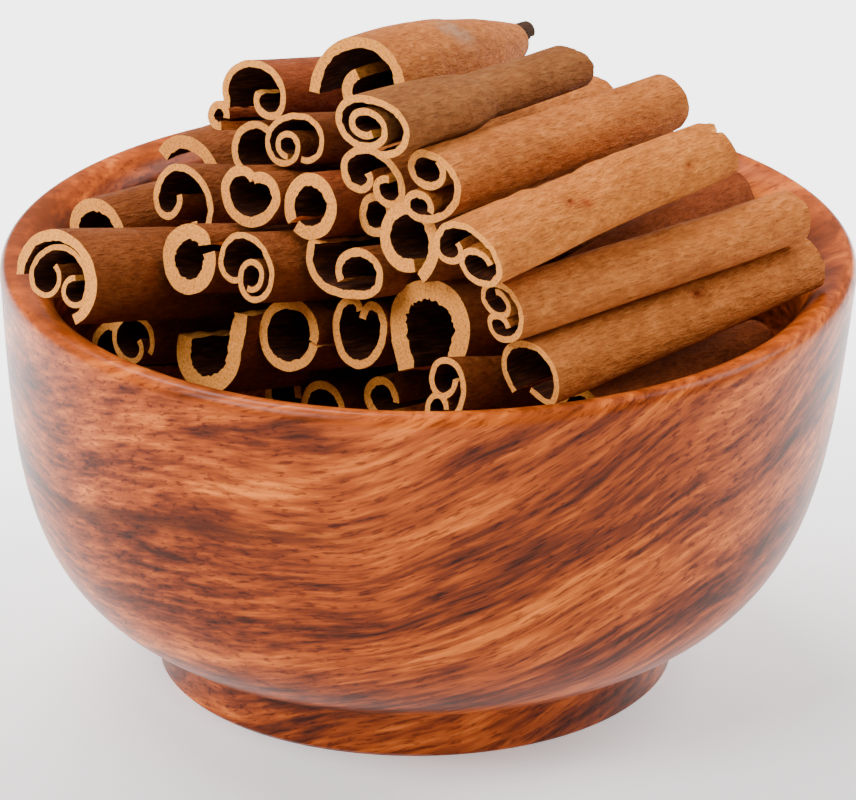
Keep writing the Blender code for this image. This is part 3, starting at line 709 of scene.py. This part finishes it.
def age(points, stick, seed):
    """Dries the stick: it tapers, bends, swells and furrows, round its knots. Gives its points, pits and scars."""
    share = points[:, 1] / (stick.length * MM)
    section = points[:, [0, 2]]
    out = np.linalg.norm(section, axis=1)
    outward = section / np.maximum(out, 1e-6)[:, None]
    bumps = 0.30 * unevenness(points, seed, 9.0, 16.0) + stick.furrow * unevenness(points, seed + 31, 2.2, 26.0)
    pits, scars = np.zeros(len(points)), np.zeros(len(points))
    angle = np.degrees(np.arctan2(points[:, 0], points[:, 2]))
    for mark in stick.marks:
        turn = np.radians((angle - mark.around + 180) % 360 - 180)
        away = np.hypot(turn * out, points[:, 1] - mark.along * MM) / (mark.size * MM)
        falloff = np.exp(-(away**2))
        ripples = np.cos(5 * away) * np.exp(-((away / RIPPLE_REACH) ** 2))
        bumps -= mark.depth * (falloff + RIPPLE_SHARE * ripples)
        pits = np.maximum(pits, falloff * (mark.depth > 0.5 and mark.size < KNOT_SIZE))
        scars = np.maximum(scars, falloff * mark.scar)
    section = section + outward * bumps[:, None] * MM
    section *= widths_along(stick, share)[:, None]
    bend = np.sin(np.pi * share)[:, None] * np.array([math.sin(seed * 3.7), math.cos(seed * 5.1)]) * 0.45 * MM
    section = section + bend
    return np.column_stack([section[:, 0], points[:, 1], section[:, 1]]), pits, scars


def tear_edges(mesh, length, amount_mm, seed):
    """Makes the strip's two long edges wander in and out as torn bark does."""
    bm = bmesh.new()
    bm.from_mesh(mesh)
    moves = {}
    for edge in bm.edges:
        first, second = edge.verts
        if first.is_boundary == second.is_boundary:
            continue
        border, inner = (first, second) if first.is_boundary else (second, first)
        if MM < border.co.y < length * MM - MM:
            pull = noise.noise(Vector((border.co.y / (4 * MM), border.co.x / (6 * MM), seed)))
            moves[border] = (border.co - inner.co) * pull * amount_mm
    for border, move in moves.items():
        border.co += move
    bm.to_mesh(mesh)
    bm.free()


def thicken(strip, wall, seed):
    """Gives the strip its wall, thinner here and there, with its own slots for the inner and the cut faces."""
    points = points_of(strip.data)
    weights = 0.9 + 0.1 * unevenness(points, seed + 57, 5.0, 20.0)
    group = strip.vertex_groups.new(name="wall")
    for number, weight in enumerate(weights):
        group.add([number], float(min(1.0, weight)), "REPLACE")
    apply_modifier(
        strip,
        "wall",
        "SOLIDIFY",
        thickness=wall * MM,
        offset=0.0,
        vertex_group="wall",
        material_offset=1,
        material_offset_rim=2,
    )


def fray_ends(mesh, stick, near, far, seed):
    """Roughens the cut ends, the far one more."""
    points = points_of(mesh)
    for end, depth in ((0.0, near), (stick.length * MM, far)):
        here = np.abs(points[:, 1] - end) < 0.01 * MM
        rough = unevenness(points[here], seed + 77 + end, 1.6, 1.0)
        slow = unevenness(points[here], seed + 91 + end, 6.0, 1.0)
        points[here, 1] += (0.5 * rough + 0.8 * slow) * depth * MM
    half = len(points) // 2
    across = points[half:] - points[:half]
    torn = (np.abs(points[:half, 1]) < 2.0 * MM) * (0.03 + 0.16 * unevenness(points[:half], seed + 13, 1.4, 3.0))
    points[half:] += across * torn[:, None]
    move_points(mesh, points)


def strip_mesh(stick, seed, scene, coarseness):
    """One quill along Y from the origin's plane, and the middle of its plain strip's box once it is laid."""
    shape, settings = SHAPES[stick.shape], scene.cinnamon_sticks
    strip = curled_strip(stick, shape, settings.spacing_mm * coarseness, settings.row_mm * coarseness)
    fit(strip, stick, shape)
    points = points_of(strip.data)
    middle = laid_middle(points, stick)
    wear_and_crown_light, pits, scars = age(points, stick, seed)
    store(strip.data, "pit", "FLOAT", pits)
    store(strip.data, "scar", "FLOAT", scars)
    move_points(strip.data, wear_and_crown_light)
    colours = scene.cinnamon_colours
    finish = "cassia_bark_" + stick.bark
    strip.data.materials.append(material(finish, bark_material, finish, getattr(colours, stick.bark + "_bark")))
    strip.data.materials.append(material("bark_inner_face", inside_material, colours.inner_face))
    strip.data.materials.append(material("bark_cut_face", cut_material, colours.cut_face))
    if coarseness == 1.0:
        tear_edges(strip.data, stick.length, 0.8, seed)
    thicken(strip, shape.wall * WALL_GROWTH, seed)
    place = points_of(strip.data) + np.array([0.11, 0.23, 0.17]) * seed
    store(strip.data, "stick_place", "FLOAT_VECTOR", place)
    fray_ends(strip.data, stick, stick.near_fray, stick.far_fray, seed)
    return strip, middle


def model_stick(stick, seed, scene, coarseness=1.0):
    """One quill from its strip, laid where its node lies."""
    strip, middle = strip_mesh(stick, seed, scene, coarseness)
    low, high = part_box(stick.node)
    strip.data.transform(Matrix.Translation((Vector(low) + Vector(high)) / 2 - middle) @ lay(stick))
    finish_piece(strip, stick.node)


def model_poking_roll(outer, seed, scene):
    """The small dark roll that sticks out of the far end of the outer stick."""
    core, _ = strip_mesh(POKING_ROLL, seed, scene, 1.0)
    row_mm = scene.cinnamon_sticks.row_mm * LOW_COARSENESS
    plain = curled_strip(outer, SHAPES[outer.shape], row_mm, row_mm)
    fit(plain, outer, SHAPES[outer.shape])
    middle = laid_middle(points_of(plain.data), outer)
    bpy.data.objects.remove(plain)
    low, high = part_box(outer.node)
    across, up = POKING_PLACE
    inside = Matrix.Translation(Vector((across, outer.length - POKING_ROLL.length + POKING_OUT, up)) * MM)
    core.data.transform(Matrix.Translation((Vector(low) + Vector(high)) / 2 - middle) @ lay(outer) @ inside)
    bpy.context.view_layer.objects.active = core
    core.select_set(True)
    bpy.ops.object.shade_smooth_by_angle(angle=math.radians(42))
    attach(core, "root")


def lay(stick):
    """The turn that brings a stick along Y to its direction."""
    yaw = Matrix.Rotation(math.radians(stick.yaw - 90), 4, "Z")
    pitch = Matrix.Rotation(math.radians(stick.pitch), 4, "X")
    return yaw @ pitch @ Matrix.Rotation(math.radians(-stick.tilt), 4, "Y")


def laid_middle(points, stick):
    """The middle of the box of the plain tapered strip once it is laid in its direction."""
    share = points[:, 1] / (stick.length * MM)
    plain = points.copy()
    plain[:, [0, 2]] *= (1 + (stick.taper - 1) * share)[:, None]
    laid = plain @ np.array(lay(stick).to_3x3()).T
    return Vector((laid.min(axis=0) + laid.max(axis=0)) / 2)


def model_sticks(sticks, first_seed, scene, coarseness=1.0):
    for number, stick in enumerate(sticks):
        model_stick(stick, first_seed + number, scene, coarseness)


# --- the studio -------------------------------------------------------------------------------------------


def aim(obj, target):
    obj.rotation_euler = (Vector(target) - obj.location).to_track_quat("-Z", "Y").to_euler()


def add_light(name, place, size, power):
    data = bpy.data.lights.new(name, "AREA")
    data.shape = "RECTANGLE"
    data.size, data.size_y = size
    data.energy = power
    light = bpy.data.objects.new(name, data)
    bpy.context.scene.collection.objects.link(light)
    light.location = place
    aim(light, (0.0, 0.0, 0.06))


def add_world(strength):
    world = bpy.data.worlds.new("studio")
    world.use_nodes = True
    background = world.node_tree.nodes["Background"]
    background.inputs["Color"].default_value = (1.0, 1.0, 1.0, 1.0)
    background.inputs["Strength"].default_value = strength
    bpy.context.scene.world = world


def add_camera():
    data = bpy.data.cameras.new("camera")
    data.lens = CAMERA_LENS
    data.sensor_width = SENSOR_WIDTH
    data.clip_start = 0.05
    data.clip_end = 50.0
    camera = bpy.data.objects.new("camera", data)
    bpy.context.scene.collection.objects.link(camera)
    camera.location = CAMERA_PLACE
    aim(camera, CAMERA_AIM)
    bpy.context.scene.camera = camera


def add_floor():
    floor = start("studio_floor", bpy.ops.mesh.primitive_plane_add, size=FLOOR_SIZE)
    floor.data.materials.append(material("studio_paper", floor_material))


# --- the add-on -------------------------------------------------------------------------------------------


def colour_property(name, description, code):
    """A colour that the user can change, from its sRGB default."""
    return FloatVectorProperty(
        name=name, description=description, default=srgb(code)[:3], subtype="COLOR", min=0.0, max=1.0
    )


class CinnamonBowl(PropertyGroup):
    """The bowl's fineness and wood."""

    sides: IntProperty(name="Sides", description="Faces round the bowl", default=160, min=24)
    wood: colour_property("Wood", "The middle shade of the bowl's wood", WOOD_COLOUR)


class CinnamonSticks(PropertyGroup):
    """How finely the sticks are drawn."""

    spacing_mm: FloatProperty(
        name="Spacing", description="Width of a face round a strip's curl, in mm", default=0.9, min=0.3
    )
    row_mm: FloatProperty(
        name="Row", description="Length of a face along a stick, in mm", default=1.6, min=0.5
    )


class CinnamonColours(PropertyGroup):
    """The middle shades of the bark and its faces."""

    tan_bark: colour_property("Tan bark", "Back of most sticks at the right", BARK_COLOURS["tan"])
    # Painted light: a lighter bark for the stick that catches the most light.
    pale_bark: colour_property("Pale bark", "Back of the palest stick", BARK_COLOURS["pale"])
    # Painted shade: a darker bark for the sticks whose bodies lie in shade.
    brown_bark: colour_property("Brown bark", "Back of most sticks at the left", BARK_COLOURS["brown"])
    red_bark: colour_property("Red bark", "Back of the reddest sticks", BARK_COLOURS["red"])
    olive_bark: colour_property("Olive bark", "Back of the greenest stick", BARK_COLOURS["olive"])
    dark_bark: colour_property("Dark bark", "Back of the roll that pokes out", BARK_COLOURS["dark"])
    inner_face: colour_property("Inner face", "Inner side of the bark", SHADED_INSIDE_COLOUR)
    cut_face: colour_property("Cut face", "Bark across a cut", CUT_COLOUR)


class CinnamonStudio(PropertyGroup):
    """The light of the studio."""

    key_power: FloatProperty(name="Key", description="Power of the light from the left", default=56.0, unit="POWER")
    fill_power: FloatProperty(
        name="Fill", description="Power of the light from the right", default=30.0, unit="POWER"
    )
    top_power: FloatProperty(name="Top", description="Power of the light above", default=34.0, unit="POWER")
    room_light: FloatProperty(name="Room", description="Strength of the light all round", default=0.5, min=0.0)


class CINNAMON_OT_bowl(Operator):
    """Turn the bowl"""

    bl_idname = "cinnamon.bowl"
    bl_label = "Bowl"

    def execute(self, context):
        model_bowl(context.scene)
        return {"FINISHED"}


class CINNAMON_OT_right_sticks(Operator):
    """Curl the sticks whose whole backs show"""

    bl_idname = "cinnamon.right_sticks"
    bl_label = "Right sticks"

    def execute(self, context):
        model_sticks(RIGHT_STICKS, 1, context.scene)
        model_poking_roll(RIGHT_STICKS[0], 71, context.scene)
        return {"FINISHED"}


class CINNAMON_OT_left_sticks(Operator):
    """Curl the sticks whose cut ends face the left and the front"""

    bl_idname = "cinnamon.left_sticks"
    bl_label = "Left sticks"

    def execute(self, context):
        model_sticks(LEFT_STICKS, 11, context.scene)
        return {"FINISHED"}


class CINNAMON_OT_deep_sticks(Operator):
    """Curl the sticks deep in the gaps and the rows below"""

    bl_idname = "cinnamon.deep_sticks"
    bl_label = "Deep sticks"

    def execute(self, context):
        model_sticks(DEEP_STICKS, 41, context.scene)
        low = [
            Stick(f"stick_low_{number}", "plain_roll", LOW_WIDTH, LOW_WIDTH, LOW_YAW, LOW_PITCH)
            for number in range(1, LOW_STICKS + 1)
        ]
        model_sticks(low, 51, context.scene, LOW_COARSENESS)
        return {"FINISHED"}


class CINNAMON_OT_studio(Operator):
    """Set up the floor, the lights and the camera"""

    bl_idname = "cinnamon.studio"
    bl_label = "Studio"

    def execute(self, context):
        studio = context.scene.cinnamon_studio
        add_floor()
        add_light("key", (-1.3, -1.0, 1.5), (1.2, 1.0), studio.key_power)
        add_light("fill", (1.5, 0.2, 1.3), (0.9, 1.2), studio.fill_power)
        add_light("top", (-0.5, 0.7, 1.6), (1.3, 0.8), studio.top_power)
        add_world(studio.room_light)
        add_camera()
        return {"FINISHED"}


STEPS = (
    CINNAMON_OT_bowl,
    CINNAMON_OT_right_sticks,
    CINNAMON_OT_left_sticks,
    CINNAMON_OT_deep_sticks,
    CINNAMON_OT_studio,
)


class CINNAMON_PT_panel(Panel):
    """The steps of the model, in order"""

    bl_idname = "CINNAMON_PT_panel"
    bl_label = "Cinnamon sticks"
    bl_space_type = "VIEW_3D"
    bl_region_type = "UI"
    bl_category = "Cinnamon"

    def draw(self, context):
        for group in GROUPS:
            settings = getattr(context.scene, group)
            for name in settings.__annotations__:
                self.layout.prop(settings, name)
        for step in STEPS:
            self.layout.operator(step.bl_idname)


GROUPS = {
    "cinnamon_bowl": CinnamonBowl,
    "cinnamon_sticks": CinnamonSticks,
    "cinnamon_colours": CinnamonColours,
    "cinnamon_studio": CinnamonStudio,
}


def register():
    for group in (*GROUPS.values(), *STEPS, CINNAMON_PT_panel):
        bpy.utils.register_class(group)
    for name, group in GROUPS.items():
        setattr(bpy.types.Scene, name, PointerProperty(type=group))


def unregister():
    for name in GROUPS:
        delattr(bpy.types.Scene, name)
    for group in (CINNAMON_PT_panel, *reversed(STEPS), *GROUPS.values()):
        bpy.utils.unregister_class(group)


def main():
    register()
    bpy.ops.cinnamon.bowl()
    bpy.ops.cinnamon.right_sticks()
    bpy.ops.cinnamon.left_sticks()
    bpy.ops.cinnamon.deep_sticks()
    bpy.ops.cinnamon.studio()


if __name__ == "__main__":
    main()
